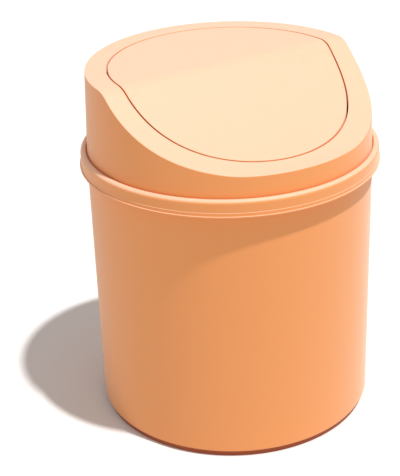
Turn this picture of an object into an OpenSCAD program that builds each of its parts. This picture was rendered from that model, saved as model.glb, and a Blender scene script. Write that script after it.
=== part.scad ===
// Countertop trash can with a lift-off lid frame and a swing flap.
// Millimetres. The can's axis is Z, it stands on Z = 0, and the low front of the lid faces -Y.

/* [Can] */
// Outside diameter of the can just under its rim band
can_d = 152; // [130:0.2:180]
// Height of the can to the top of its rim
can_h = 151.2; // [110:0.2:200]
// Draft of the can's wall, in degrees
can_draft = 0.18; // [0:0.02:0.6]
// Thickness of the can's wall
can_wall = 1.8; // [1.4:0.1:2.4]
// Thickness of the can's base panel
base_t = 2.4; // [1.8:0.1:4]
// Radius round the can's bottom edge
base_edge_r = 0.9; // [0.4:0.1:1.1]

/* [Foot] */
// Height of the foot ring that the can stands on
foot_h = 3; // [1.6:0.1:4.5]
// Distance that the foot ring is set in from the bottom edge
foot_inset = 1.2; // [1.2:0.1:5]
// Thickness of the foot ring
foot_t = 2.2; // [1.6:0.1:4]

/* [Rim band] */
// Height of the rim band that hangs outside the can
band_h = 8.8; // [7.6:0.1:14]
// Distance that the rim band stands out from the can's wall
band_out = 4; // [3.8:0.1:7]
// Thickness of the rim band's outer skirt
band_t = 1.7; // [1.4:0.1:2.2]
// Height of the thicker bead along the band's lower edge
bead_h = 3.2; // [2:0.1:4.5]
// Distance that the bead stands out from the band above it
bead_out = 0.6; // [0.3:0.05:1]
// Radius of the rim's outer shoulder
shoulder_r = 2; // [1.2:0.1:2.2]
// Depth of the lid's seat below the top of the rim
seat_depth = 2.2; // [1.4:0.1:3]
// Width of the step between the can's outer wall and the seat's rise
seat_step = 0.3; // [0.2:0.05:1]

/* [Lid frame] */
// Height of the lid's front flat above the rim
lid_front_h = 10.6; // [7.5:0.1:20]
// Height of the lid's back flat above the rim
lid_back_h = 42.8; // [34:0.2:56]
// Draft of the lid's skirt, in degrees
lid_draft = 2.2; // [0.5:0.1:4]
// Thickness of the lid frame's skirt and top
lid_wall = 1.9; // [1.4:0.1:2.4]
// Gap between the lid's skirt and the rise of its seat
lid_gap = 0.65; // [0.4:0.05:1]
// Width of the lid's border, from the foot of the skirt to the flap's opening
border_w = 12.6; // [10:0.2:16]
// Depth of the plug that keeps the lid centred in the can
plug_depth = 11; // [6:0.5:20]
// Thickness of the plug
plug_t = 1.6; // [1.2:0.1:2.2]
// Gap between the plug and the can's wall
plug_gap = 0.4; // [0.3:0.05:0.8]

/* [Ramp] */
// Distance from the can's axis forward to the crease across the lid
crease_y = 1.3; // [-4:0.1:6]
// Radius that softens the crease
crease_r = 13; // [10:0.5:18]
// Radius of the hollow ramp
ramp_r = 149; // [110:1:240]
// Radius where the ramp runs out into the front flat
runout_r = 32; // [12:1:40]
// Width of the flat at the lid's front edge
flat_w = 5; // [3:0.2:10]

/* [Opening] */
// Thickness of the collar that hangs round the opening
collar_t = 1.6; // [1.2:0.1:2.2]
// Depth of the collar below the lid's surface
collar_depth = 6.6; // [5:0.1:8]
// Width of the ledge that the back of the flap rests on
ledge_w = 3; // [2:0.1:5]
// Thickness of the ledge
ledge_t = 1.5; // [1:0.1:2.5]
// Distance behind the hinge line where the ledge begins
ledge_back = 16; // [13:0.5:30]

/* [Flap] */
// Gap all round the flap
flap_gap = 1.1; // [0.5:0.05:1.5]
// Thickness of the flap's top skin
flap_t = 1.8; // [1.4:0.1:2.4]
// Thickness of the flap's hanging edge
flap_edge_t = 1.6; // [1.2:0.1:2.2]
// Depth of the flap's hanging edge
flap_edge_h = 4.6; // [3.6:0.1:6]
// Thickness of the ribs under the flap
rib_t = 1.3; // [0.9:0.1:2]
// Depth of the ribs under the flap, below its surface
rib_depth = 4.2; // [3:0.1:5]
// Spacing of the ribs that run from front to back
rib_pitch = 26; // [18:1:34]

/* [Hinge] */
// Distance from the can's axis forward to the hinge line
hinge_y = 3.4; // [0:0.1:6]
// Depth of the hinge line below the lid's back flat
hinge_drop = 6.2; // [5.8:0.1:8]
// Diameter of the flap's trunnion pins
pin_d = 4; // [3:0.1:4.4]
// Reach of each pin into its bearing eye
pin_reach = 4; // [2.5:0.1:5]
// Running clearance between a pin and its eye, on the radius
pin_play = 0.08; // [0.04:0.01:0.1]
// Wall of the boss round each pin, under the flap
boss_wall = 1.6; // [1.2:0.1:2.2]
// Length of the boss round each pin
boss_len = 6; // [4:0.5:10]
// Wall of the bearing eye round each pin
eye_wall = 2.2; // [1.8:0.1:3]
// Length of the bearing eye, from the opening outwards
eye_len = 5.6; // [5.2:0.1:6.4]
// Depth of the lead-in groove that the pin slides up when the flap is snapped in
groove_depth = 1; // [0.4:0.1:1.6]

/* [Hidden] */
$fn = 96;

cut = 1;                                        // how far a cut runs past a face
can_colour = [0.95, 0.66, 0.46];
lid_colour = [0.97, 0.72, 0.53];
flap_colour = [0.98, 0.76, 0.58];

// Can and rim
can_r = can_d / 2;                              // outside of the wall at the rim band
seat_z = can_h - seat_depth;                    // the lid's seat
bore_r = can_r - can_wall;                      // inside of the wall at the seat
rise_r = can_r + seat_step;                     // upright face round the seat
band_r = can_r + band_out;                      // outside of the band's bead
shell_r = band_r - bead_out;                    // outside of the band above the bead
band_z = can_h - band_h;                        // lower edge of the band
web_z = seat_z - can_wall;                      // underside of the web that carries the band
inner_lip_r = 0.6;                              // radius at the rim's inner lip
band_edge_r = 0.4;                              // radius along the band's lower edge
function wall_r(z) = can_r - (band_z - z) * tan(can_draft);

// Lid skirt and top
skirt_r = rise_r - lid_gap;                     // lid's skirt where it leaves the rim
front_z = can_h + lid_front_h;
back_z = can_h + lid_back_h;
function lid_r(z) = skirt_r - (z - can_h) * tan(lid_draft);
opening_r = skirt_r - border_w;
flap_r = opening_r - flap_gap;
plug_r = bore_r - plug_gap;
plug_z = seat_z - plug_depth;

// Hinge
hinge_z = back_z - hinge_drop;
pin_r = pin_d / 2;
eye_r = pin_r + eye_wall;
boss_r = pin_r + boss_wall;
boss_set = 0.4;                                 // boss's outer face lies this far within the flap's edge
boss_face = sqrt(flap_r ^ 2 - (abs(hinge_y) + boss_r) ^ 2) - boss_set;
ledge_z = back_z - flap_edge_h;

// Outline of the lid's top, as distance forward of the axis and height. A long hollow arc falls from
// the crease and runs out through a shorter arc into the front flat; a third arc softens the crease.
// Neighbouring arcs cross each other by a hair, so that they always meet.
lap = 0.004;
flat_y = skirt_r - flat_w;
crease_pt = [crease_y, back_z];
runout_c = [flat_y, front_z + runout_r - lap];
to_runout = ramp_r - runout_r + lap;            // distance between the centres of the two hollow arcs
span = norm(runout_c - crease_pt);
along = (ramp_r ^ 2 - to_runout ^ 2 + span ^ 2) / (2 * span);
across = sqrt(ramp_r ^ 2 - along ^ 2);
toward = (runout_c - crease_pt) / span;
ramp_c = crease_pt + along * toward + across * [-toward[1], toward[0]];
crease_c_z = back_z - crease_r + lap;
to_crease = ramp_r + crease_r - lap;            // distance between the centres of ramp and crease
crease_c = [ramp_c[0] - sqrt(to_crease ^ 2 - (ramp_c[1] - crease_c_z) ^ 2), crease_c_z];
crease_dir = (ramp_c - crease_c) / to_crease;
runout_dir = (runout_c - ramp_c) / to_runout;
tie = 0.5;                                      // how far neighbouring stretches of the outline overlap
ramp_tail = 2;                                  // how far the ramp's stretch runs on under the run-out
reach = can_d;                                  // further out than any part of the lid

// A rectangle from corner low to corner high whose corners are rounded: radii run anticlockwise
// from the low corner.
module soft_rect(low, high, radii) {
  corners = [low, [high[0], low[1]], high, [low[0], high[1]]];
  inward = [[1, 1], [-1, 1], [-1, -1], [1, -1]];
  difference() {
    translate(low) square(high - low);
    for (i = [0:3]) {
      if (radii[i] > 0) {
        centre = corners[i] + radii[i] * inward[i];
        past = radii[i] + cut;
        difference() {
          translate(centre - [inward[i][0] > 0 ? past : 0, inward[i][1] > 0 ? past : 0]) square(past);
          translate(centre) circle(r = radii[i]);
        }
      }
    }
  }
}

// The space under the lid's top outline, inset square to it by the given depth.
module under_outline(inset) {
  back_top = back_z - inset;
  ramp_start = crease_c + (crease_r - inset) * crease_dir;
  ramp_end = ramp_c + (ramp_r + inset) * runout_dir;
  // back flat
  translate([-reach, 0]) square([reach + crease_c[0], back_top]);
  // softened crease
  translate([crease_c[0] - tie, 0]) square([ramp_start[0] - crease_c[0] + 2 * tie, crease_c[1]]);
  intersection() {
    translate(crease_c) circle(r = crease_r - inset);
    translate([crease_c[0] - tie, 0]) square([crease_r, back_top]);
  }
  // hollow ramp
  difference() {
    translate([ramp_start[0], 0])
      square([ramp_end[0] - ramp_start[0] + ramp_tail, ramp_start[1] + cut]);
    translate(ramp_c) circle(r = ramp_r + inset);
  }
  // run-out
  difference() {
    translate([ramp_end[0], 0]) square([runout_c[0] - ramp_end[0], ramp_end[1] + cut]);
    translate(runout_c) circle(r = runout_r + inset);
  }
  // front flat
  translate([ramp_end[0] + tie, 0]) square([reach - ramp_end[0], front_z - inset]);
}

// The same space run across the whole lid.
module under_top(inset) {
  rotate([90, 0, -90]) linear_extrude(height = 2 * reach, center = true) under_outline(inset);
}

// A layer of the given thickness that hangs from the lid's top outline.
module layer(from, to) {
  difference() {
    under_top(from);
    under_top(to);
  }
}

// A tube that stands on the given height.
module tube(outer_r, inner_r, z, height) {
  translate([0, 0, z]) difference() {
    cylinder(r = outer_r, h = height);
    translate([0, 0, -cut]) cylinder(r = inner_r, h = height + 2 * cut);
  }
}

// A rod along X on the hinge line, from one distance to another, on both sides.
module hinge_rods(radius, from, to) {
  for (side = [-1, 1]) {
    translate([side * from, -hinge_y, hinge_z])
      rotate([0, side * 90, 0])
        cylinder(r = radius, h = to - from);
  }
}

module can_profile() {
  bottom_r = wall_r(foot_h);
  floor_z = foot_h + base_t;
  // wall and base in one moulding
  difference() {
    polygon([[0, foot_h], [bottom_r, foot_h], [can_r, band_z], [can_r, seat_z], [0, seat_z]]);
    polygon([[-cut, floor_z], [wall_r(floor_z) - can_wall, floor_z], [bore_r, band_z],
             [bore_r, seat_z + cut], [-cut, seat_z + cut]]);
    difference() {
      translate([bottom_r - base_edge_r, foot_h - cut]) square([base_edge_r + cut, base_edge_r + cut]);
      translate([bottom_r - base_edge_r, foot_h + base_edge_r]) circle(r = base_edge_r);
    }
  }
  // foot ring under the base
  translate([bottom_r - foot_inset - foot_t, 0]) square([foot_t, foot_h + base_t / 2]);
  // web that carries the band, and the upright rise round the lid's seat
  translate([bore_r, web_z]) square([shell_r - shoulder_r - bore_r, can_wall]);
  soft_rect([rise_r, web_z], [shell_r, can_h], [0, 0, shoulder_r, inner_lip_r]);
  // outer skirt of the band with its bead
  translate([shell_r - band_t, band_z + bead_h / 2])
    square([band_t, can_h - shoulder_r - band_z - bead_h / 2]);
  soft_rect([shell_r - band_t, band_z], [band_r, band_z + bead_h], [0, band_edge_r, band_edge_r, 0]);
}

module can_body() {
  color(can_colour) rotate_extrude() can_profile();
}

// The tapered space inside the lid's skirt from the given height up, inset from the skirt's face
// and square to the top outline.
module lid_space(inset, z) {
  intersection() {
    translate([0, 0, z])
      cylinder(r1 = lid_r(z) - inset, r2 = lid_r(back_z) - inset, h = back_z - z);
    under_top(inset);
  }
}

// Skirt, top and the inward shoulder that sits on the can's seat.
module lid_shell() {
  difference() {
    lid_space(0, seat_z);
    lid_space(lid_wall, seat_z + lid_wall);
    translate([0, 0, seat_z - cut]) cylinder(r = plug_r - plug_t, h = lid_wall + 2 * cut);
  }
}

module lid_frame() {
  color(lid_colour) {
    difference() {
      union() {
        lid_shell();
        // stock for the collar, which follows the lid's surface round the opening
        intersection() {
          cylinder(r = opening_r + collar_t, h = back_z);
          layer(lid_wall / 2, collar_depth);
        }
        bearing_eyes();
      }
      translate([0, 0, seat_z + lid_wall]) cylinder(r = opening_r, h = lid_back_h + seat_depth);
      hinge_rods(pin_r + pin_play, opening_r - 2 * cut, opening_r + eye_len + cut);
      lead_in_grooves();
    }
    // plug that drops into the can
    tube(plug_r, plug_r - plug_t, plug_z, plug_depth + lid_wall);
    rest_ledge();
  }
}

// Round eyes with a block above that ties each one to the lid's top.
module bearing_eyes() {
  intersection() {
    union() {
      hinge_rods(eye_r, opening_r - cut, opening_r + eye_len);
      for (side = [-1, 1]) {
        translate([side * (opening_r + (eye_len - cut) / 2), -hinge_y, hinge_z + hinge_drop / 2])
          cube([eye_len + cut, 2 * eye_r, hinge_drop], center = true);
      }
    }
    under_top(lid_wall / 2);
  }
}

// Grooves in the collar and eyes that run up to the bores from below.
module lead_in_grooves() {
  for (side = [-1, 1]) {
    translate([side * (opening_r - cut + groove_depth / 2), -hinge_y, hinge_z - eye_r])
      cube([groove_depth + 2 * cut, pin_d + 2 * pin_play, 2 * eye_r], center = true);
  }
}

// Ledge behind the hinge that stops the flap flush with the lid.
module rest_ledge() {
  intersection() {
    tube(opening_r + collar_t / 2, opening_r - ledge_w, ledge_z - ledge_t, ledge_t);
    translate([-reach, ledge_back - hinge_y, 0]) cube([2 * reach, reach, back_z]);
  }
}

module swing_flap() {
  color(flap_colour) {
    // skin and hanging edge
    intersection() {
      cylinder(r = flap_r, h = back_z + cut);
      layer(0, flap_t);
    }
    intersection() {
      tube(flap_r, flap_r - flap_edge_t, 0, back_z + cut);
      layer(flap_t / 2, flap_edge_h);
    }
    flap_ribs();
    intersection() {
      hinge_rods(boss_r, boss_face - boss_len, boss_face);
      under_top(flap_t / 2);
    }
    hinge_rods(pin_r, boss_face - boss_len / 2, opening_r + groove_depth + pin_reach);
  }
}

module flap_ribs() {
  intersection() {
    cylinder(r = flap_r - flap_edge_t / 2, h = back_z);
    union() {
      intersection() {
        for (i = [-1:1]) {
          translate([i * rib_pitch - rib_t / 2, -reach, 0]) cube([rib_t, 2 * reach, back_z]);
        }
        layer(flap_t / 2, rib_depth);
      }
      // spine from boss to boss under the crease
      intersection() {
        translate([-reach, -hinge_y - rib_t / 2, hinge_z]) cube([2 * reach, rib_t, hinge_drop]);
        under_top(flap_t / 2);
      }
    }
  }
}

can_body();
lid_frame();
swing_flap();
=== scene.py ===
"""Looks of a countertop trash can: a round can, a lid frame with a hollow ramp, and a swing flap.

The pieces are modelled in millimetres and turned into metres when they become meshes. The can's axis is
Z, it stands on Z = 0, and the low front of the lid faces -Y.
"""

import logging
import math
from dataclasses import dataclass
from enum import Enum
from typing import Callable, Iterable, Sequence

import bmesh
import bpy
from mathutils import Matrix, Vector


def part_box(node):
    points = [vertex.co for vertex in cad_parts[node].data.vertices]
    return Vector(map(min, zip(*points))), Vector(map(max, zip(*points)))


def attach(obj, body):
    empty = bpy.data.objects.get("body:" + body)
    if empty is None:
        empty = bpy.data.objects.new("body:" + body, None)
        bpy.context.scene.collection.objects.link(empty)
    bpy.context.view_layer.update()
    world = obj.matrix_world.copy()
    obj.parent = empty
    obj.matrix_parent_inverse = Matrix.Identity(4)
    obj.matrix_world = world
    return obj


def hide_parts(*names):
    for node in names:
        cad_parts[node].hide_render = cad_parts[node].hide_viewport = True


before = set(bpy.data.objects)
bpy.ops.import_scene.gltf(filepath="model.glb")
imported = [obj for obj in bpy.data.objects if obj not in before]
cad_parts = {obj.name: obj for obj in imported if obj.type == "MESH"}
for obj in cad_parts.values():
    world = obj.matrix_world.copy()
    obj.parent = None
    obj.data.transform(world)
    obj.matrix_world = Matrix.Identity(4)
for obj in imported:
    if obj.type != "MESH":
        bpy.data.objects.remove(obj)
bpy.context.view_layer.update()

log = logging.getLogger("countertop_can")

MM = 0.001                  # one millimetre in metres
RIM_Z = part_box("can_body")[1].z / MM    # height of the can's rim, in millimetres
BACK_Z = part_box("lid_frame")[1].z / MM  # height of the lid's back flat, in millimetres
SEAT_DEPTH = 2.2            # depth of the lid's seat below the can's rim, in millimetres
TURN_STEPS = 240            # steps of a full turn round the can's axis
ROD_SIDES = 64              # sides of a round rod
CLOSE = 1e-4                # vertices nearer than this, in millimetres, are one
RING_REACH = 0.02           # how far a ring's vertices may lie from its radius and height, in millimetres
SOFT_ANGLE = math.radians(36)   # edges sharper than this stay crisp in the shading
SETTLE_ROUNDS = 4           # rounds that settle a vertex whose place and height depend on each other
NOISE_MIDDLE = 0.5          # middle value of a noise texture

Point = tuple[float, float]
Colour = tuple[float, float, float, float]
Group = tuple[bpy.types.NodeTree, bpy.types.bpy_prop_collection, bpy.types.NodeSocket]

WHITE: Colour = (1.0, 1.0, 1.0, 1.0)
WALL_ORANGE: Colour = (0.965, 0.365, 0.11, 1.0)     # plastic that stands upright
DRIFT_ORANGE: Colour = (0.96, 0.45, 0.2, 1.0)       # tone that the plastic drifts towards
PAINTED_TOP_LIGHT_ORANGE: Colour = (0.93, 0.575, 0.39, 1.0)    # painted light: paler colour where the plastic faces up
PAINTED_FOOT_SHADE: Colour = (0.4, 0.075, 0.013, 1.0)      # painted shade on the recessed foot ring


class Body(Enum):
    """Bodies of the object that pieces ride on."""

    CAN = "can"
    LID = "lid"
    FLAP = "flap"


class Slot(Enum):
    """Material slots of the record."""

    CAN = "can_plastic"
    LID = "lid_plastic"
    FLAP = "flap_plastic"


class Join(Enum):
    """Ways to combine two solids."""

    UNION = "UNION"
    DIFFERENCE = "DIFFERENCE"


# ---------------------------------------------------------------------------------------------
# Helpers
# ---------------------------------------------------------------------------------------------


def link_object(name: str, data: bpy.types.ID) -> bpy.types.Object:
    """Makes an object and links it to the scene.

    Args:
        name: Name of the object.
        data: Its mesh, light or camera.

    Returns:
        The new object.
    """
    made = bpy.data.objects.new(name, data)
    bpy.context.scene.collection.objects.link(made)
    return made


def towards(azimuth: float, elevation: float) -> Vector:
    """Finds the direction of a lamp or camera from the can.

    Args:
        azimuth: Degrees round the can from its front, -Y, towards +X.
        elevation: Degrees above the table.

    Returns:
        Vector of length 1.
    """
    turned, raised = math.radians(azimuth), math.radians(elevation)
    return Vector((math.sin(turned) * math.cos(raised), -math.cos(turned) * math.cos(raised),
                   math.sin(raised)))


def everything(bm: bmesh.types.BMesh) -> list:
    """Lists a mesh's vertices, edges and faces."""
    return list(bm.verts) + list(bm.edges) + list(bm.faces)


def add_chain(bm: bmesh.types.BMesh, points: Sequence[Point], closed: bool = False) -> list:
    """Adds a chain of edges in the XZ plane.

    Args:
        bm: Mesh that takes the chain.
        points: Radius and height of each corner, in millimetres.
        closed: Whether the last corner joins the first.

    Returns:
        The new vertices and edges.
    """
    verts = [bm.verts.new((radius, 0.0, height)) for radius, height in points]
    pairs = list(zip(verts, verts[1:]))
    if closed:
        pairs.append((verts[-1], verts[0]))
    return verts + [bm.edges.new(pair) for pair in pairs]


def turn(bm: bmesh.types.BMesh, geometry: list) -> None:
    """Spins a chain once round Z and closes its seam and poles.

    Args:
        bm: Mesh that holds the chain.
        geometry: Vertices and edges of the chain.
    """
    bmesh.ops.spin(bm, geom=geometry, cent=(0, 0, 0), axis=(0, 0, 1), dvec=(0, 0, 0),
                   angle=math.tau, steps=TURN_STEPS, use_merge=True, use_duplicate=False)
    bmesh.ops.remove_doubles(bm, verts=bm.verts, dist=CLOSE)
    bmesh.ops.recalc_face_normals(bm, faces=bm.faces)


def ring_edges(bm: bmesh.types.BMesh, radius: float, height: float) -> list[bmesh.types.BMEdge]:
    """Finds the edges that run round the axis at one radius and height.

    Args:
        bm: Mesh to search.
        radius: Distance from the axis.
        height: Height above the table.

    Returns:
        The edges of that ring.
    """
    def on_ring(vert: bmesh.types.BMVert) -> bool:
        """Whether a vertex lies on the ring."""
        return abs(vert.co.z - height) < RING_REACH and abs(vert.co.xy.length - radius) < RING_REACH

    return [edge for edge in bm.edges if on_ring(edge.verts[0]) and on_ring(edge.verts[1])]


def round_edges(bm: bmesh.types.BMesh, edges: Iterable[bmesh.types.BMEdge], size: float,
                segments: int) -> None:
    """Rounds edges.

    Args:
        bm: Mesh to change.
        edges: Edges to round.
        size: Width of the rounding on either side of an edge.
        segments: Steps of the rounding.
    """
    bmesh.ops.bevel(bm, geom=list(edges), offset=size, offset_type="OFFSET", segments=segments,
                    profile=0.5, affect="EDGES", clamp_overlap=True, material=-1)


def soften(bm: bmesh.types.BMesh, corners: Iterable[tuple[Point, float]], segments: int = 4) -> None:
    """Rounds the ring edges at the given corners of a turned mesh.

    Args:
        bm: Mesh to change.
        corners: Each corner's radius and height, with the size of its rounding.
        segments: Steps of each rounding.
    """
    for (radius, height), size in corners:
        round_edges(bm, ring_edges(bm, radius, height), size, segments)


def add_rod(bm: bmesh.types.BMesh, start: Vector, end: Vector, radius: float,
            end_edge: float = 0.0) -> None:
    """Adds a solid round rod between two points.

    Args:
        bm: Mesh that takes the rod.
        start: Centre of one end.
        end: Centre of the other end.
        radius: Radius of the rod.
        end_edge: Rounding of both end edges.
    """
    axis = end - start
    place = Matrix.Translation((start + end) / 2) @ axis.to_track_quat("Z", "Y").to_matrix().to_4x4()
    made = bmesh.ops.create_cone(bm, cap_ends=True, cap_tris=False, segments=ROD_SIDES, radius1=radius,
                                 radius2=radius, depth=axis.length, matrix=place)
    if end_edge:
        # The caps are the rod's only faces with more than four corners.
        ends = {face for vert in made["verts"] for face in vert.link_faces if len(face.verts) > 4}
        round_edges(bm, {edge for face in ends for edge in face.edges}, end_edge, segments=3)


def add_block(bm: bmesh.types.BMesh, low: Vector, high: Vector) -> None:
    """Adds a block between two corners.

    Args:
        bm: Mesh that takes the block.
        low: Lowest corner.
        high: Highest corner.
    """
    size = high - low
    place = Matrix.Translation((low + high) / 2) @ Matrix.Diagonal((size.x, size.y, size.z, 1.0))
    bmesh.ops.create_cube(bm, size=1.0, matrix=place)


def mark_smooth(bm: bmesh.types.BMesh) -> None:
    """Shades a mesh smoothly and keeps its sharper edges crisp.

    Args:
        bm: Mesh to mark.
    """
    for face in bm.faces:
        face.smooth = True
    for edge in bm.edges:
        edge.smooth = not (edge.is_manifold and edge.calc_face_angle(0.0) > SOFT_ANGLE)


def to_object(bm: bmesh.types.BMesh, name: str) -> bpy.types.Object:
    """Turns a mesh in millimetres into a smooth-shaded object in metres, at the origin.

    Args:
        bm: Mesh to use up.
        name: Name of the object and of its mesh.

    Returns:
        The new object, linked to the scene.
    """
    bmesh.ops.scale(bm, vec=(MM, MM, MM), verts=bm.verts)
    mark_smooth(bm)
    mesh = bpy.data.meshes.new(name)
    bm.to_mesh(mesh)
    bm.free()
    return link_object(name, mesh)


def even_shading(piece: bpy.types.Object) -> None:
    """Lets large faces keep their own direction in the shading, next to small roundings.

    Args:
        piece: Object to finish.
    """
    weighted = piece.modifiers.new("even shading", "WEIGHTED_NORMAL")
    weighted.keep_sharp = True


def combine(piece: bpy.types.Object, tool: bpy.types.Object, how: Join) -> None:
    """Joins one object to another or cuts it away, and drops the tool.

    Args:
        piece: Object to change.
        tool: Object that is added or cut away.
        how: Whether the tool is added or cut away.
    """
    step = piece.modifiers.new("combine", "BOOLEAN")
    step.operation = how.value
    step.object = tool
    step.solver = "EXACT"
    shaped = bpy.data.meshes.new_from_object(piece.evaluated_get(bpy.context.evaluated_depsgraph_get()))
    piece.modifiers.clear()
    old = piece.data
    piece.data = shaped
    shaped.name = old.name
    bpy.data.meshes.remove(old)
    bpy.data.objects.remove(tool)


# ---------------------------------------------------------------------------------------------
# The lid's top outline
# ---------------------------------------------------------------------------------------------


@dataclass(frozen=True)
class TopOutline:
    """Side outline of the lid's top: back flat, softened crease, hollow ramp, run-out and front flat.

    Distances run forward from the can's axis and heights up from the table, in millimetres.
    """

    back_z: float
    front_z: float
    flat_start: float
    crease_at: float = 1.3
    crease_radius: float = 13.0
    ramp_radius: float = 149.0
    runout_radius: float = 32.0
    crease_steps: int = 12
    ramp_steps: int = 24
    runout_steps: int = 8

    @property
    def runout_centre(self) -> Vector:
        """Centre of the arc that runs out into the front flat."""
        return Vector((self.flat_start, self.front_z + self.runout_radius))

    @property
    def ramp_centre(self) -> Vector:
        """Centre of the hollow ramp, which starts at the crease point and touches the run-out arc.

        Returns:
            Distance forward of the axis, and height.
        """
        crease = Vector((self.crease_at, self.back_z))
        way = self.runout_centre - crease
        span = way.length
        apart = self.ramp_radius - self.runout_radius
        along = (self.ramp_radius ** 2 - apart ** 2 + span ** 2) / (2 * span)
        across = math.sqrt(self.ramp_radius ** 2 - along ** 2)
        ahead = way / span
        return crease + along * ahead + across * Vector((-ahead.y, ahead.x))

    @property
    def crease_centre(self) -> Vector:
        """Centre of the arc that softens the crease.

        Returns:
            Distance forward of the axis, and height.
        """
        height = self.back_z - self.crease_radius
        apart = self.ramp_radius + self.crease_radius
        ramp = self.ramp_centre
        return Vector((ramp.x - math.sqrt(apart ** 2 - (ramp.y - height) ** 2), height))

    @property
    def ramp_start(self) -> float:
        """Distance at which the crease's arc meets the ramp."""
        way = self.ramp_centre - self.crease_centre
        return self.crease_centre.x + self.crease_radius * way.x / way.length

    @property
    def ramp_end(self) -> float:
        """Distance at which the ramp meets the run-out arc."""
        way = self.runout_centre - self.ramp_centre
        return self.ramp_centre.x + self.ramp_radius * way.x / way.length

    def height(self, ahead: float) -> float:
        """Height of the outline.

        Args:
            ahead: Distance forward of the can's axis.

        Returns:
            Height above the table.
        """
        crease, ramp, runout = self.crease_centre, self.ramp_centre, self.runout_centre
        if ahead <= crease.x:
            return self.back_z
        if ahead <= self.ramp_start:
            return crease.y + math.sqrt(self.crease_radius ** 2 - (ahead - crease.x) ** 2)
        if ahead <= self.ramp_end:
            return ramp.y - math.sqrt(self.ramp_radius ** 2 - (ahead - ramp.x) ** 2)
        if ahead <= runout.x:
            return runout.y - math.sqrt(self.runout_radius ** 2 - (ahead - runout.x) ** 2)
        return self.front_z

    def stations(self) -> list[float]:
        """Distances at which the surface needs an edge to follow its arcs.

        Returns:
            Distances forward of the axis, from the crease to the front flat.
        """
        arcs = ((self.crease_centre.x, self.ramp_start, self.crease_steps),
                (self.ramp_start, self.ramp_end, self.ramp_steps),
                (self.ramp_end, self.runout_centre.x, self.runout_steps))
        found = [near + (far - near) * step / steps for near, far, steps in arcs for step in range(steps)]
        return found + [self.runout_centre.x]


# ---------------------------------------------------------------------------------------------
# Finishes
# ---------------------------------------------------------------------------------------------


def new_group(name: str, vectors: Sequence[str], colours: Sequence[str], numbers: dict[str, float],
              output: tuple[str, str]) -> Group:
    """Makes a shader node group with named sockets.

    Args:
        name: Name of the group.
        vectors: Names of the vector inputs.
        colours: Names of the colour inputs.
        numbers: Names and defaults of the number inputs.
        output: Name and kind of the output.

    Returns:
        The group, its inputs by name, and its output.
    """
    group = bpy.data.node_groups.new(name, "ShaderNodeTree")
    for label in vectors:
        group.interface.new_socket(name=label, in_out="INPUT", socket_type="NodeSocketVector")
    for label in colours:
        group.interface.new_socket(name=label, in_out="INPUT", socket_type="NodeSocketColor")
    for label, value in numbers.items():
        socket = group.interface.new_socket(name=label, in_out="INPUT", socket_type="NodeSocketFloat")
        socket.default_value = value
    label, kind = output
    group.interface.new_socket(name=label, in_out="OUTPUT", socket_type=kind)
    start, end = group.nodes.new("NodeGroupInput"), group.nodes.new("NodeGroupOutput")
    return group, start.outputs, end.inputs[label]


def feed(tree: bpy.types.NodeTree, socket: bpy.types.NodeSocket, value: object) -> None:
    """Links another node's output to an input, or sets the input to a value.

    Args:
        tree: Node tree that holds the input.
        socket: The input.
        value: An output, a number or a colour.
    """
    if isinstance(value, bpy.types.NodeSocket):
        tree.links.new(value, socket)
    else:
        socket.default_value = value


def add_math(tree: bpy.types.NodeTree, operation: str, first: object,
             second: object) -> bpy.types.NodeSocket:
    """Adds a Math node.

    Args:
        tree: Node tree that takes it.
        operation: The node's operation.
        first: A socket or a number.
        second: A socket or a number.

    Returns:
        The node's output.
    """
    node = tree.nodes.new("ShaderNodeMath")
    node.operation = operation
    for socket, value in zip(node.inputs, (first, second)):
        feed(tree, socket, value)
    return node.outputs["Value"]


def add_height(tree: bpy.types.NodeTree, vector: bpy.types.NodeSocket) -> bpy.types.NodeSocket:
    """Adds a node that reads the Z part of a vector.

    Args:
        tree: Node tree that takes it.
        vector: The vector.

    Returns:
        The vector's Z part.
    """
    split = tree.nodes.new("ShaderNodeSeparateXYZ")
    tree.links.new(vector, split.inputs["Vector"])
    return split.outputs["Z"]


def add_mix(tree: bpy.types.NodeTree, share: bpy.types.NodeSocket, first: bpy.types.NodeSocket,
            second: bpy.types.NodeSocket) -> bpy.types.NodeSocket:
    """Adds a mix of two colours.

    Args:
        tree: Node tree that takes it.
        share: Share of the second colour, from 0 to 1.
        first: First colour.
        second: Second colour.

    Returns:
        The mixed colour.
    """
    mix = tree.nodes.new("ShaderNodeMix")
    mix.data_type = "RGBA"
    for label, value in (("Factor", share), ("A", first), ("B", second)):
        tree.links.new(value, mix.inputs[label])
    return mix.outputs["Result"]


def add_noise(tree: bpy.types.NodeTree, vector: bpy.types.NodeSocket, scale: bpy.types.NodeSocket,
              detail: float, roughness: float) -> bpy.types.NodeSocket:
    """Adds a noise texture.

    Args:
        tree: Node tree that takes it.
        vector: Where the noise is read.
        scale: Features per metre.
        detail: Octaves of finer noise.
        roughness: Strength of the finer octaves.

    Returns:
        The noise's value, about 0.5 in the middle.
    """
    noise = tree.nodes.new("ShaderNodeTexNoise")
    tree.links.new(vector, noise.inputs["Vector"])
    tree.links.new(scale, noise.inputs["Scale"])
    noise.inputs["Detail"].default_value = detail
    noise.inputs["Roughness"].default_value = roughness
    return noise.outputs["Fac"]


def make_mould_grain() -> None:
    """Makes the group for the fine spark-eroded grain that the mould leaves on the plastic."""
    group, given, height = new_group(
        "mould grain", ["Vector"], [], {"Grain per metre": 2200.0, "Fineness": 3.1, "Fine share": 0.4},
        ("Height", "NodeSocketFloat"))
    grain = add_noise(group, given["Vector"], given["Grain per metre"], detail=2.0, roughness=0.55)
    finer = add_math(group, "MULTIPLY", given["Grain per metre"], given["Fineness"])
    fine = add_noise(group, given["Vector"], finer, detail=1.0, roughness=0.5)
    fine = add_math(group, "MULTIPLY", fine, given["Fine share"])
    group.links.new(add_math(group, "ADD", grain, fine), height)


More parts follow.
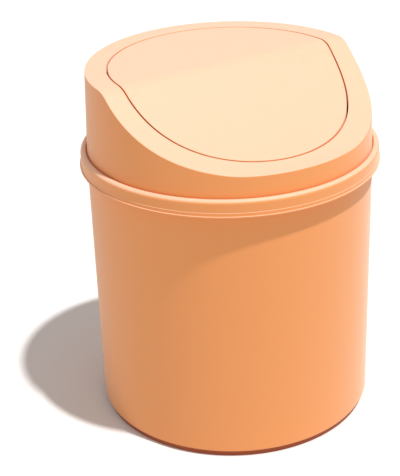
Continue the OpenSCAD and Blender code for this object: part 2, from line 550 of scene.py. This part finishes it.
def make_painted_top_light() -> None:
    """Makes the group for painted light on upward faces: a paler colour where the plastic faces up, with a
    soft and uneven edge.
    """
    group, given, colour = new_group(
        "painted top light", ["Vector", "Normal"], ["Colour", "Upward"],
        {"Upright below": 0.3, "Upward above": 0.75, "Patches per metre": 22.0, "Unevenness": 0.12},
        ("Colour", "NodeSocketColor"))
    patches = add_noise(group, given["Vector"], given["Patches per metre"], detail=2.0, roughness=0.5)
    drift = add_math(group, "SUBTRACT", patches, NOISE_MIDDLE)
    drift = add_math(group, "MULTIPLY", drift, given["Unevenness"])
    facing = group.nodes.new("ShaderNodeMapRange")
    facing.interpolation_type = "SMOOTHSTEP"
    upward = add_math(group, "ADD", add_height(group, given["Normal"]), drift)
    group.links.new(upward, facing.inputs["Value"])
    group.links.new(given["Upright below"], facing.inputs["From Min"])
    group.links.new(given["Upward above"], facing.inputs["From Max"])
    group.links.new(add_mix(group, facing.outputs["Result"], given["Colour"], given["Upward"]), colour)


def make_flow_tint() -> None:
    """Makes the group for the slow drift of the plastic's tone, from the way it flowed in the mould."""
    group, given, colour = new_group(
        "flow tint", ["Vector"], ["Colour", "Pale"],
        {"Amount": 0.1, "Waves per metre": 14.0, "Wave share": 0.7, "Specks per metre": 900.0,
         "Speck share": 0.3},
        ("Colour", "NodeSocketColor"))
    waves = add_noise(group, given["Vector"], given["Waves per metre"], detail=2.0, roughness=0.5)
    waves = add_math(group, "MULTIPLY", waves, given["Wave share"])
    specks = add_noise(group, given["Vector"], given["Specks per metre"], detail=2.0, roughness=0.6)
    specks = add_math(group, "MULTIPLY", specks, given["Speck share"])
    share = add_math(group, "MULTIPLY", add_math(group, "ADD", waves, specks), given["Amount"])
    group.links.new(add_mix(group, share, given["Colour"], given["Pale"]), colour)


def make_painted_foot_shade() -> None:
    """Makes the group for the painted shade on the recessed foot ring: a darker colour below a height."""
    group, given, colour = new_group(
        "painted foot shade", ["Vector"], ["Colour", "Shade"], {"Height": 0.0}, ("Colour", "NodeSocketColor"))
    below = add_math(group, "LESS_THAN", add_height(group, given["Vector"]), given["Height"])
    group.links.new(add_mix(group, below, given["Colour"], given["Shade"]), colour)


def make_handling() -> None:
    """Makes the group for soft patches where handling has polished the matte surface a little."""
    group, given, roughness = new_group(
        "handling", ["Vector"], [], {"Roughness": 0.45, "Swing": 0.06, "Patches per metre": 36.0},
        ("Roughness", "NodeSocketFloat"))
    patches = add_noise(group, given["Vector"], given["Patches per metre"], detail=3.0, roughness=0.55)
    swing = add_math(group, "SUBTRACT", patches, NOISE_MIDDLE)
    swing = add_math(group, "MULTIPLY", swing, given["Swing"])
    group.links.new(add_math(group, "ADD", given["Roughness"], swing), roughness)


@dataclass(frozen=True)
class MouldedPlastic:
    """Matte moulded polypropylene in a soft orange.

    Its depths and heights are in metres. Below shade_height its colour carries a painted shade for the
    foot ring, and faces that look up carry painted light.
    """

    name: str
    shade_height: float = 0.0
    colour: Colour = WALL_ORANGE
    pale: Colour = DRIFT_ORANGE
    # painted light: paler colour that upward faces get
    upward: Colour = PAINTED_TOP_LIGHT_ORANGE
    # painted shade: darker colour of the foot ring
    shade: Colour = PAINTED_FOOT_SHADE
    tint: float = 0.12
    roughness: float = 0.52
    swing: float = 0.08
    refraction: float = 1.5
    gloss: float = 0.35
    grain: float = 2200.0
    bump: float = 0.12
    bump_depth: float = 0.00004
    sheen: float = 0.5
    sheen_roughness: float = 0.45
    sheen_tint: Colour = (1.0, 0.93, 0.86, 1.0)
    glow: float = 0.1
    glow_colour: tuple[float, float, float] = (1.0, 0.35, 0.12)
    glow_reach: float = 0.0008

    def build(self) -> bpy.types.Material:
        """Builds the material from the shared groups.

        Returns:
            The new material.
        """
        material = bpy.data.materials.new(self.name)
        material.use_nodes = True
        tree = material.node_tree
        shader = tree.nodes["Principled BSDF"]
        for label, value in (
                ("IOR", self.refraction), ("Specular IOR Level", self.gloss),
                ("Sheen Weight", self.sheen), ("Sheen Roughness", self.sheen_roughness),
                ("Sheen Tint", self.sheen_tint), ("Subsurface Weight", self.glow),
                ("Subsurface Radius", self.glow_colour), ("Subsurface Scale", self.glow_reach)):
            shader.inputs[label].default_value = value
        where = tree.nodes.new("ShaderNodeTexCoord")
        # painted light: upward faces get a paler colour
        tone = self._group(tree, where, "painted top light", {
            "Normal": where.outputs["Normal"], "Colour": self.colour, "Upward": self.upward})
        tint = self._group(tree, where, "flow tint", {
            "Colour": tone.outputs["Colour"], "Pale": self.pale, "Amount": self.tint})
        # painted shade: the foot ring below shade_height is darkened
        foot = self._group(tree, where, "painted foot shade", {
            "Colour": tint.outputs["Colour"], "Shade": self.shade, "Height": self.shade_height})
        handling = self._group(tree, where, "handling", {"Roughness": self.roughness, "Swing": self.swing})
        grain = self._group(tree, where, "mould grain", {"Grain per metre": self.grain})
        bump = tree.nodes.new("ShaderNodeBump")
        bump.inputs["Strength"].default_value = self.bump
        bump.inputs["Distance"].default_value = self.bump_depth
        tree.links.new(grain.outputs["Height"], bump.inputs["Height"])
        tree.links.new(foot.outputs["Colour"], shader.inputs["Base Color"])
        tree.links.new(handling.outputs["Roughness"], shader.inputs["Roughness"])
        tree.links.new(bump.outputs["Normal"], shader.inputs["Normal"])
        return material

    @staticmethod
    def _group(tree: bpy.types.NodeTree, where: bpy.types.Node, name: str,
               values: dict[str, object]) -> bpy.types.Node:
        """Places a shared group in a material with its own values.

        Args:
            tree: The material's node tree.
            where: Texture Coordinate node, whose Object output the group reads.
            name: The group's name.
            values: Value or source of each of the group's other inputs.

        Returns:
            The group node.
        """
        node = tree.nodes.new("ShaderNodeGroup")
        node.node_tree = bpy.data.node_groups[name]
        tree.links.new(where.outputs["Object"], node.inputs["Vector"])
        for label, value in values.items():
            feed(tree, node.inputs[label], value)
        return node


# ---------------------------------------------------------------------------------------------
# Pieces
# ---------------------------------------------------------------------------------------------


@dataclass
class Piece:
    """A moulding: one mesh that stands for one node of the model."""

    name: str
    node: str
    body: Body
    slot: Slot
    finish: MouldedPlastic

    def build(self) -> bpy.types.Object:
        """Models the piece; each moulding has its own."""
        raise NotImplementedError

    def dress(self) -> None:
        """Models the piece, gives it its finish and puts it on its body."""
        piece = self.build()
        even_shading(piece)
        piece.data.materials.clear()
        piece.data.materials.append(self.finish.build())
        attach(piece, self.body.value)
        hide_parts(self.node)
        log.info("%s: %d faces on body %s", self.name, len(piece.data.polygons), self.body.value)


@dataclass
class Can(Piece):
    """Round can with a recessed base, a foot ring and a hanging rim band."""

    wall_radius: float = 76.0
    draft: float = 0.18
    wall: float = 1.8
    foot_height: float = 3.0
    foot_inset: float = 1.2
    foot_width: float = 2.2
    base: float = 2.4
    base_edge: float = 0.9
    band_height: float = 8.8
    band_out: float = 4.0
    band_wall: float = 1.7
    bead_height: float = 2.4
    bead_out: float = 0.14
    lip_height: float = 0.75
    lip_out: float = 0.56
    lip_edge: float = 0.18
    shoulder: float = 2.0
    seat_depth: float = SEAT_DEPTH
    seat_step: float = 0.3
    inner_lip: float = 0.6
    small_edge: float = 0.35
    inside_corner: float = 3.0

    def wall_at(self, height: float) -> float:
        """Outside radius of the drafted wall at a height."""
        drop = RIM_Z - self.band_height - height
        return self.wall_radius - drop * math.tan(math.radians(self.draft))

    def build(self) -> bpy.types.Object:
        """Turns the can's section and rounds its corners.

        Returns:
            The can.
        """
        seat_z = RIM_Z - self.seat_depth
        band_z = RIM_Z - self.band_height
        bead_z = band_z + self.bead_height
        web_z = seat_z - self.wall
        floor_z = self.foot_height + self.base
        bottom = self.wall_at(self.foot_height)
        foot_out = bottom - self.foot_inset
        foot_in = foot_out - self.foot_width
        inside = self.wall_radius - self.wall
        rise = self.wall_radius + self.seat_step
        lip = self.wall_radius + self.band_out
        lip_z = band_z + self.lip_height
        bead = lip - self.lip_out
        band = bead - self.bead_out
        band_in = band - self.band_wall
        floor_r = self.wall_at(floor_z) - self.wall

        section = [
            (0.0, self.foot_height), (foot_in, self.foot_height), (foot_in, 0.0), (foot_out, 0.0),
            (foot_out, self.foot_height), (bottom, self.foot_height), (self.wall_radius, band_z),
            (self.wall_radius, web_z), (band_in, web_z), (band_in, band_z), (lip, band_z), (lip, lip_z),
            (bead, lip_z), (bead, bead_z), (band, bead_z + self.bead_out), (band, RIM_Z),
            (rise, RIM_Z), (rise, seat_z), (inside, seat_z), (inside, band_z), (floor_r, floor_z),
            (0.0, floor_z),
        ]
        bm = bmesh.new()
        turn(bm, add_chain(bm, section))
        soften(bm, [
            ((bottom, self.foot_height), self.base_edge), ((foot_out, 0.0), self.small_edge),
            ((foot_in, 0.0), self.small_edge), ((lip, band_z), self.lip_edge),
            ((lip, lip_z), self.lip_edge), ((band_in, band_z), self.small_edge),
            ((rise, RIM_Z), self.inner_lip), ((inside, seat_z), self.small_edge),
            ((floor_r, floor_z), self.inside_corner),
        ])
        soften(bm, [((band, RIM_Z), self.shoulder)], segments=8)
        return to_object(bm, self.name)


@dataclass
class LidTop(Piece):
    """What the lid frame and the flap share: the opening, its gap and the top outline."""

    seat_depth: float = SEAT_DEPTH
    skirt_radius: float = 75.65
    skirt_draft: float = 2.2
    border: float = 12.85
    front_rise: float = 10.6
    front_flat: float = 5.0
    hinge_ahead: float = 3.4
    hinge_drop: float = 6.2
    pin_radius: float = 2.0
    flap_gap: float = 0.85
    flap_edge_depth: float = 4.6
    small_edge: float = 0.3

    @property
    def seat_z(self) -> float:
        """Height of the lid's seat."""
        return RIM_Z - self.seat_depth

    @property
    def outline(self) -> TopOutline:
        """The lid's top outline."""
        return TopOutline(back_z=BACK_Z, front_z=RIM_Z + self.front_rise,
                          flat_start=self.skirt_radius - self.front_flat)

    @property
    def opening(self) -> float:
        """Radius of the opening in the lid."""
        return self.skirt_radius - self.border

    def skirt_at(self, height: float) -> float:
        """Outside radius of the drafted skirt at a height."""
        return self.skirt_radius - (height - RIM_Z) * math.tan(math.radians(self.skirt_draft))

    def hinge(self, side: int, distance: float) -> Vector:
        """Point on the hinge line, at a distance from the can's middle plane on one side."""
        return Vector((side * distance, -self.hinge_ahead, self.outline.back_z - self.hinge_drop))

    def follow_top(self, bm: bmesh.types.BMesh, level: float, above: float,
                   place: Callable[[Vector, float], Point] | None = None) -> None:
        """Cuts a level mesh at the outline's stations and lifts it to the lid's top outline.

        Args:
            bm: Mesh modelled under a flat top.
            level: Height of that flat top.
            above: Only vertices above this height are lifted.
            place: Gives a vertex's new X and Y from its old place and the top's height there.
        """
        outline = self.outline
        for ahead in outline.stations():
            bmesh.ops.bisect_plane(bm, geom=everything(bm), dist=CLOSE, plane_co=(0, -ahead, 0),
                                   plane_no=(0, 1, 0))
        for vert in bm.verts:
            if vert.co.z <= above:
                continue
            x, y = vert.co.x, vert.co.y
            if place:
                for _ in range(SETTLE_ROUNDS):
                    x, y = place(vert.co, outline.height(-y))
            vert.co = Vector((x, y, vert.co.z + outline.height(-y) - level))

    @staticmethod
    def tidy(piece: bpy.types.Object) -> None:
        """Merges stray points and drops folded faces left by the cuts, and sets the crisp edges again.

        Args:
            piece: Object to tidy.
        """
        bm = bmesh.new()
        bm.from_mesh(piece.data)
        bmesh.ops.remove_doubles(bm, verts=bm.verts, dist=CLOSE * MM)
        bmesh.ops.dissolve_degenerate(bm, dist=CLOSE * MM, edges=bm.edges)
        bmesh.ops.triangulate(bm, faces=[face for face in bm.faces if len(face.verts) > 4])
        # A folded face lies on its only neighbour, so its edges know just the two of them.
        folded = [face for face in bm.faces
                  if len({other for edge in face.edges for other in edge.link_faces}) <= 2]
        bmesh.ops.delete(bm, geom=folded, context="FACES")
        mark_smooth(bm)
        bm.to_mesh(piece.data)
        bm.free()


@dataclass
class LidFrame(LidTop):
    """Lid frame: skirt, border, collar, plug, bearing eyes and the ledge behind the flap."""

    wall: float = 1.9
    plug_radius: float = 73.8
    plug_wall: float = 1.6
    plug_depth: float = 11.0
    collar: float = 1.6
    collar_depth: float = 6.6
    ledge_width: float = 3.0
    ledge_thickness: float = 1.5
    ledge_behind: float = 16.0
    skirt_foot: float = 1.0
    eye_wall: float = 2.2
    eye_length: float = 5.6
    pin_play: float = 0.08
    bore_lead: float = 2.0
    bore_past: float = 1.0
    groove_depth: float = 1.0
    outer_edge: float = 0.45
    opening_edge: float = 0.25

    @property
    def eye_radius(self) -> float:
        """Outside radius of a bearing eye."""
        return self.pin_radius + self.eye_wall

    def build(self) -> bpy.types.Object:
        """Turns the frame under a level top, lifts it to the outline, then adds the hinge and the ledge.

        Returns:
            The lid frame.
        """
        level = self.outline.front_z
        plug_in = self.plug_radius - self.plug_wall
        plug_z = self.seat_z - self.plug_depth
        shoulder_z = self.seat_z + self.wall
        collar_out = self.opening + self.collar
        collar_z = level - self.collar_depth
        under = level - self.wall
        section = [
            (self.skirt_at(self.seat_z), self.seat_z), (self.skirt_at(level), level),
            (self.opening, level), (self.opening, collar_z), (collar_out, collar_z), (collar_out, under),
            (self.skirt_at(under) - self.wall, under),
            (self.skirt_at(shoulder_z) - self.wall, shoulder_z), (plug_in, shoulder_z),
            (plug_in, plug_z), (self.plug_radius, plug_z), (self.plug_radius, self.seat_z),
        ]
        bm = bmesh.new()
        turn(bm, add_chain(bm, section, closed=True))
        soften(bm, [
            ((self.skirt_at(level), level), self.outer_edge), ((self.opening, level), self.opening_edge),
            ((self.opening, collar_z), self.small_edge), ((collar_out, collar_z), self.small_edge),
            ((self.plug_radius, plug_z), self.small_edge), ((plug_in, plug_z), self.small_edge),
            ((self.skirt_at(self.seat_z), self.seat_z), self.small_edge),
        ])

        def draw_in(place: Vector, top: float) -> Point:
            """Moves a point towards the axis by the skirt's draft; the collar stays where it is.

            Args:
                place: The point under the level top.
                top: Height of the outline there.

            Returns:
                The point's new X and Y.
            """
            radius = place.xy.length
            share = max(0.0, (radius - collar_out) / (self.skirt_at(level) - collar_out))
            moved = radius - share * (self.skirt_at(level) - self.skirt_at(top))
            return place.x * moved / radius, place.y * moved / radius

        self.follow_top(bm, level, above=shoulder_z + self.skirt_foot, place=draw_in)
        piece = to_object(bm, self.name)
        combine(piece, self._eyes(), Join.UNION)
        combine(piece, self._bores(), Join.DIFFERENCE)
        combine(piece, self._ledge(), Join.UNION)
        self.tidy(piece)
        return piece

    def _eyes(self) -> bpy.types.Object:
        """Round bearing eyes, each tied to the underside of the top.

        Returns:
            Both eyes as one object.
        """
        rods, blocks = bmesh.new(), bmesh.new()
        for side in (-1, 1):
            near = self.hinge(side, self.opening + self.collar / 2)
            far = self.hinge(side, self.opening + self.eye_length)
            add_rod(rods, near, far, self.eye_radius)
            self._add_slot(blocks, near, far, self.eye_radius, near.z, self.outline.back_z)
        for bm in (rods, blocks):
            for vert in bm.verts:
                vert.co.z = min(vert.co.z, self.outline.height(-vert.co.y) - self.wall / 2)
        eyes = to_object(rods, "eyes")
        combine(eyes, to_object(blocks, "eye_blocks"), Join.UNION)
        return eyes

    def _bores(self) -> bpy.types.Object:
        """Rods and blocks that cut the pins' bores and the lead-in grooves below them.

        Returns:
            The cutters as one object.
        """
        rods, blocks = bmesh.new(), bmesh.new()
        radius = self.pin_radius + self.pin_play
        for side in (-1, 1):
            near = self.hinge(side, self.opening - self.bore_lead)
            add_rod(rods, near, self.hinge(side, self.opening + self.eye_length + self.bore_past), radius)
            self._add_slot(blocks, near, self.hinge(side, self.opening + self.groove_depth), radius,
                           near.z - 2 * self.eye_radius, near.z)
        bores = to_object(rods, "bores")
        combine(bores, to_object(blocks, "grooves"), Join.UNION)
        return bores

    @staticmethod
    def _add_slot(bm: bmesh.types.BMesh, near: Vector, far: Vector, radius: float,
                  low_z: float, high_z: float) -> None:
        """Adds a block as long and wide as a rod on the hinge line, between two heights.

        Args:
            bm: Mesh that takes the block.
            near: Centre of one end of the rod.
            far: Centre of its other end.
            radius: Radius of the rod.
            low_z: Height of the block's underside.
            high_z: Height of its top.
        """
        add_block(bm, Vector((min(near.x, far.x), near.y - radius, low_z)),
                  Vector((max(near.x, far.x), near.y + radius, high_z)))

    def _ledge(self) -> bpy.types.Object:
        """Ledge that stops the back of the flap flush with the lid.

        Returns:
            The ledge.
        """
        bm = bmesh.new()
        top = self.outline.back_z - self.flap_edge_depth
        bottom = top - self.ledge_thickness
        inner, outer = self.opening - self.ledge_width, self.opening + self.collar / 2
        section = [(inner, bottom), (outer, bottom), (outer, top), (inner, top)]
        turn(bm, add_chain(bm, section, closed=True))
        soften(bm, [((inner, top), self.small_edge)], segments=2)
        start = self.ledge_behind - self.hinge_ahead
        cut = bmesh.ops.bisect_plane(bm, geom=everything(bm), dist=CLOSE, plane_co=(0, start, 0),
                                     plane_no=(0, -1, 0), clear_outer=True)
        rims = [item for item in cut["geom_cut"] if isinstance(item, bmesh.types.BMEdge)]
        bmesh.ops.holes_fill(bm, edges=rims, sides=0)
        bmesh.ops.recalc_face_normals(bm, faces=bm.faces)
        return to_object(bm, "ledge")


@dataclass
class SwingFlap(LidTop):
    """Flap that follows the lid's top, with a hanging edge, ribs and two trunnion pins."""

    skin: float = 1.8
    edge_wall: float = 1.6
    rib_wall: float = 1.3
    rib_depth: float = 4.2
    rib_pitch: float = 26.0
    boss_wall: float = 1.6
    boss_length: float = 6.0
    pin_into_boss: float = 5.0
    pin_into_frame: float = 5.0
    pin_edge: float = 0.4
    top_edge: float = 0.25

    @property
    def radius(self) -> float:
        """Radius of the flap."""
        return self.opening - self.flap_gap

    def half_length(self, aside: float) -> float:
        """Half the length of a rib, at a distance from the axis, that ends inside the hanging edge."""
        return math.sqrt((self.radius - self.edge_wall / 2) ** 2 - (aside + self.rib_wall / 2) ** 2)

    def build(self) -> bpy.types.Object:
        """Shapes the panel from a disc, lifts it to the outline, then adds ribs, bosses and pins.

        Returns:
            The flap.
        """
        level = self.outline.front_z
        bottom = level - self.flap_edge_depth
        bm = bmesh.new()
        bmesh.ops.create_circle(bm, cap_ends=True, radius=self.radius, segments=TURN_STEPS,
                                matrix=Matrix.Translation((0, 0, level)))
        lower = self._extrude(bm, list(bm.faces), -self.flap_edge_depth)
        bmesh.ops.inset_region(bm, faces=lower, thickness=self.edge_wall, use_even_offset=True)
        self._extrude(bm, lower, self.flap_edge_depth - self.skin)
        bmesh.ops.delete(bm, geom=lower, context="FACES_ONLY")
        bmesh.ops.recalc_face_normals(bm, faces=bm.faces)
        soften(bm, [
            ((self.radius, level), self.top_edge), ((self.radius, bottom), self.small_edge),
            ((self.radius - self.edge_wall, bottom), self.small_edge),
        ])
        self.follow_top(bm, level, above=0.0)
        piece = to_object(bm, self.name)
        inner_parts = self._ribs(level)
        for part in self._hinge_parts():
            combine(inner_parts, part, Join.UNION)
        combine(piece, inner_parts, Join.UNION)
        self.tidy(piece)
        return piece

    @staticmethod
    def _extrude(bm: bmesh.types.BMesh, faces: list, height: float) -> list:
        """Extrudes faces along Z.

        Args:
            bm: Mesh that holds them.
            faces: Faces to extrude.
            height: How far they rise.

        Returns:
            The moved faces.
        """
        made = bmesh.ops.extrude_face_region(bm, geom=faces)["geom"]
        verts = [item for item in made if isinstance(item, bmesh.types.BMVert)]
        bmesh.ops.translate(bm, vec=(0, 0, height), verts=verts)
        return [item for item in made if isinstance(item, bmesh.types.BMFace)]

    def _ribs(self, level: float) -> bpy.types.Object:
        """Ribs that run from front to back under the skin.

        Args:
            level: Height of the flat top that they hang from.

        Returns:
            The ribs as one object.
        """
        bm = bmesh.new()
        for middle in (-self.rib_pitch, 0.0, self.rib_pitch):
            half = self.half_length(abs(middle))
            add_block(bm, Vector((middle - self.rib_wall / 2, -half, level - self.rib_depth)),
                      Vector((middle + self.rib_wall / 2, half, level - self.skin / 2)))
        self.follow_top(bm, level, above=0.0)
        return to_object(bm, "ribs")

    def _hinge_parts(self) -> list[bpy.types.Object]:
        """Spine, bosses and pins on the hinge line.

        Returns:
            One object for each of the three.
        """
        spine, bosses, pins = bmesh.new(), bmesh.new(), bmesh.new()
        boss = self.pin_radius + self.boss_wall
        face = math.sqrt(self.radius ** 2 - (self.hinge_ahead + boss) ** 2) - self.edge_wall / 4
        inside = face - self.boss_length
        middle = self.hinge(1, 0.0)
        skin_under = self.outline.height(self.hinge_ahead + self.rib_wall / 2) - self.skin / 2
        half = self.half_length(self.hinge_ahead)
        add_block(spine, Vector((-half, middle.y - self.rib_wall / 2, middle.z)),
                  Vector((half, middle.y + self.rib_wall / 2, skin_under)))
        for side in (-1, 1):
            add_rod(bosses, self.hinge(side, inside), self.hinge(side, face), boss, self.small_edge)
            add_rod(pins, self.hinge(side, face - self.pin_into_boss),
                    self.hinge(side, self.opening + self.pin_into_frame), self.pin_radius, self.pin_edge)
        return [to_object(spine, "spine"), to_object(bosses, "bosses"), to_object(pins, "pins")]


# ---------------------------------------------------------------------------------------------
# Studio
# ---------------------------------------------------------------------------------------------


@dataclass(frozen=True)
class Studio:
    """White floor, white surroundings, a high key light from the front right and soft fill."""

    floor_size: float = 12.0
    floor_seen: float = 0.88
    floor_lit: float = 0.7
    floor_roughness: float = 0.9
    fill: float = 0.46
    fill_colour: Colour = (1.0, 0.985, 0.97, 1.0)
    key_azimuth: float = 24.9
    key_elevation: float = 71.0
    key_strength: float = 2.8
    key_angle: float = 2.2
    key_colour: tuple[float, float, float] = (1.0, 0.985, 0.965)

    def build(self) -> None:
        """Makes the floor, the world and the lamp."""
        self._floor()
        self._world()
        self._key()
        bpy.context.scene.view_settings.view_transform = "Standard"
        log.info("studio: floor, world and key light")

    def _floor(self) -> None:
        """Makes the plain floor."""
        bm = bmesh.new()
        bmesh.ops.create_grid(bm, x_segments=1, y_segments=1, size=self.floor_size / 2)
        mesh = bpy.data.meshes.new("floor")
        bm.to_mesh(mesh)
        bm.free()
        material = bpy.data.materials.new("floor")
        material.use_nodes = True
        tree = material.node_tree
        shader = tree.nodes["Principled BSDF"]
        seen = tree.nodes.new("ShaderNodeLightPath").outputs["Is Camera Ray"]
        paler = add_math(tree, "MULTIPLY", seen, self.floor_seen - self.floor_lit)
        tree.links.new(add_math(tree, "ADD", paler, self.floor_lit), shader.inputs["Base Color"])
        shader.inputs["Roughness"].default_value = self.floor_roughness
        shader.inputs["Specular IOR Level"].default_value = 0.0
        mesh.materials.append(material)
        floor = link_object("floor", mesh)

    def _world(self) -> None:
        """Makes a world that looks white and lights softly."""
        world = bpy.data.worlds.new("studio")
        bpy.context.scene.world = world
        world.use_nodes = True
        tree = world.node_tree
        tree.nodes.clear()
        seen, light = (tree.nodes.new("ShaderNodeBackground") for _ in range(2))
        seen.inputs["Color"].default_value = WHITE
        light.inputs["Color"].default_value = self.fill_colour
        light.inputs["Strength"].default_value = self.fill
        path = tree.nodes.new("ShaderNodeLightPath").outputs
        mirror = add_math(tree, "MAXIMUM", path["Is Glossy Ray"], path["Is Transmission Ray"])
        shown = add_math(tree, "MAXIMUM", path["Is Camera Ray"], mirror)
        mix = tree.nodes.new("ShaderNodeMixShader")
        sources = (shown, light.outputs["Background"], seen.outputs["Background"])
        for socket, source in zip(mix.inputs, sources):
            tree.links.new(source, socket)
        out = tree.nodes.new("ShaderNodeOutputWorld")
        tree.links.new(mix.outputs["Shader"], out.inputs["Surface"])

    def _key(self) -> None:
        """Makes the key light."""
        lamp = bpy.data.lights.new("key", "SUN")
        lamp.energy = self.key_strength
        lamp.angle = math.radians(self.key_angle)
        lamp.color = self.key_colour
        key = link_object("key", lamp)
        key.location = towards(self.key_azimuth, self.key_elevation)
        key.rotation_mode = "QUATERNION"
        key.rotation_quaternion = key.location.to_track_quat("Z", "Y")


@dataclass(frozen=True)
class PhotoCamera:
    """Camera at the photograph's place: it looks down at the can from the front left."""

    azimuth: float = -32.0
    elevation: float = 26.294
    distance: float = 702.4
    aim_height: float = 93.0
    yaw: float = -1.42
    roll: float = -1.386
    focal_pixels: float = 1269.0
    long_side: int = 476
    sensor_width: float = 36.0
    sees_from: float = 0.05
    sees_to: float = 50.0

    def build(self) -> None:
        """Makes the camera and gives it to the scene."""
        data = bpy.data.cameras.new("camera")
        data.sensor_width = self.sensor_width
        data.lens = self.focal_pixels * self.sensor_width / self.long_side
        data.clip_start, data.clip_end = self.sees_from, self.sees_to
        camera = link_object("camera", data)
        back = towards(self.azimuth, self.elevation)
        azimuth = math.radians(self.azimuth)
        right = Vector((math.cos(azimuth), math.sin(azimuth), 0.0))
        up = back.cross(right)
        yaw, roll = math.radians(self.yaw), math.radians(self.roll)
        forward = -back * math.cos(yaw) + right * math.sin(yaw)
        level = right * math.cos(yaw) + back * math.sin(yaw)
        side = level * math.cos(roll) + up * math.sin(roll)
        top = -level * math.sin(roll) + up * math.cos(roll)
        turned = Matrix((side, top, -forward)).transposed()
        place = (back * self.distance + Vector((0.0, 0.0, self.aim_height))) * MM
        camera.matrix_world = Matrix.Translation(place) @ turned.to_4x4()
        bpy.context.scene.camera = camera
        log.info("camera: %.0f mm from the can", self.distance)


def main() -> None:
    """Builds the studio and the three mouldings in order."""
    logging.basicConfig(level=logging.INFO, format="%(name)s: %(message)s")
    for make in (make_mould_grain, make_painted_top_light, make_flow_tint, make_painted_foot_shade, make_handling):
        make()
    PhotoCamera().build()
    Studio().build()
    for piece in (
            # the can's foot ring, below 2.9 mm, gets a painted shade
            Can("can_shell", "can_body", Body.CAN, Slot.CAN,
                MouldedPlastic("can plastic", shade_height=0.0029)),
            LidFrame("lid_frame_shell", "lid_frame", Body.LID, Slot.LID, MouldedPlastic("lid plastic")),
            SwingFlap("flap_shell", "swing_flap", Body.FLAP, Slot.FLAP, MouldedPlastic("flap plastic"))):
        piece.dress()


if __name__ == "__main__":
    main()
